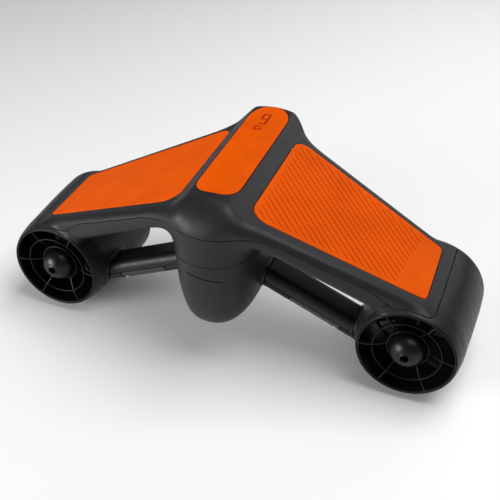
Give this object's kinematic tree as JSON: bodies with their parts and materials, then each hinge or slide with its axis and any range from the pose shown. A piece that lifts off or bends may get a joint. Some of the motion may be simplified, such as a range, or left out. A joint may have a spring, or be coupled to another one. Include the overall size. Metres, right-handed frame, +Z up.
{
  "type": "underwater scooter",
  "caption": "Hand-held underwater scooter: a winged hull with a nose battery pod, grips with triggers, and a ducted propeller on each side behind a spoked guard.",
  "frame": {"origin": "middle of the footprint, on the plane the foot pads rest on", "axes": "+X across the scooter from duct to duct, to the left of a rider who faces the nose; +Y towards the tail and the rider, so the nose and the duct inlets face -Y; +Z up"},
  "size_m": [0.5168, 0.2204, 0.2167],
  "materials": {
    "shell": "satin charcoal moulding",
    "orange": "semi-gloss orange inlay",
    "guard_black": "fine matt black moulding",
    "grip_black": "matt black grip moulding",
    "spinner": "semi-gloss dark grey",
    "trigger_grey": "satin dark grey",
    "rubber": "matt black rubber",
    "steel": "stainless steel",
    "stator_iron": "laminated core with varnished windings",
    "cell_wrap": "cell with a teal shrink sleeve",
    "brass": "plated contact",
    "board": "green circuit board",
    "digit_red": "dark red light pipe",
    "inner_plastic": "plain black moulding"
  },
  "bodies": {
    "body": {"case_screws": "steel", "centre_panel": "orange", "contact_block": "inner_plastic", "control_board": "board", "display_digits": "digit_red", "display_module": "inner_plastic", "latch_spring": "steel", "left_duct_guard": "guard_black", "left_duct_housing": "shell", "left_foot_pad": "rubber", "left_grip": "grip_black", "left_grip_cover": "grip_black", "left_motor_cap": "guard_black", "left_motor_stator": "stator_iron", "left_rear_guard": "guard_black", "left_trigger_spring": "steel", "left_wing_panel": "orange", "lower_frame": "shell", "motor_bearings": "steel", "motor_wires": "rubber", "pod_seal": "rubber", "power_switch": "inner_plastic", "right_duct_guard": "guard_black", "right_duct_housing": "shell", "right_foot_pad": "rubber", "right_grip": "grip_black", "right_grip_cover": "grip_black", "right_motor_cap": "guard_black", "right_motor_stator": "stator_iron", "right_rear_guard": "guard_black", "right_trigger_spring": "steel", "right_wing_panel": "orange", "shaft_seals": "rubber", "top_cover": "shell", "trigger_pins": "steel", "trigger_sensors": "inner_plastic"},
    "left_propeller": {"left_propeller": "guard_black", "left_nose_dome": "spinner", "left_propeller_bolt": "steel", "left_motor_shaft": "steel", "left_motor_rotor": "steel"},
    "right_propeller": {"right_propeller": "guard_black", "right_nose_dome": "spinner", "right_propeller_bolt": "steel", "right_motor_shaft": "steel", "right_motor_rotor": "steel"},
    "left_trigger": {"left_trigger": "trigger_grey", "left_trigger_magnet": "steel"},
    "right_trigger": {"right_trigger": "trigger_grey", "right_trigger_magnet": "steel"},
    "battery_pod": {"nose_pod": "shell", "battery_case": "inner_plastic", "battery_cells": "cell_wrap", "battery_contacts": "brass"},
    "pod_latch": {"pod_latch": "trigger_grey"},
    "power_button": {"power_button": "trigger_grey"}
  },
  "joints": [
    {"name": "left_propeller_spin", "type": "hinge", "parent": "body", "child": "left_propeller", "pos_m": [-0.2, 0, 0.06], "axis": [0, 1, 0], "continuous": true},
    {"name": "right_propeller_spin", "type": "hinge", "parent": "body", "child": "right_propeller", "pos_m": [0.2, 0, 0.06], "axis": [0, 1, 0], "continuous": true},
    {"name": "left_trigger_squeeze", "type": "hinge", "parent": "body", "child": "left_trigger", "pos_m": [-0.12482, -0.0433, 0.06086], "axis": [-0.3939, 0, 0.9191], "range_deg": [0, 6], "stiffness_Nm_per_rad": 2, "deforming": ["left_trigger_spring"]},
    {"name": "right_trigger_squeeze", "type": "hinge", "parent": "body", "child": "right_trigger", "pos_m": [0.12482, -0.0433, 0.06086], "axis": [-0.3939, 0, -0.9191], "range_deg": [0, 6], "stiffness_Nm_per_rad": 2, "deforming": ["right_trigger_spring"]},
    {"name": "pod_release", "type": "slide", "parent": "body", "child": "battery_pod", "axis": [0, -1, 0], "range_m": [0, 0.12]},
    {"name": "latch_slide", "type": "slide", "parent": "body", "child": "pod_latch", "axis": [0, 1, 0], "range_m": [0, 0.006], "stiffness_N_per_m": 400, "deforming": ["latch_spring"]},
    {"name": "power_button_press", "type": "slide", "parent": "body", "child": "power_button", "axis": [0, -1, 0], "range_m": [0, 0.002], "stiffness_N_per_m": 1200}
  ]
}
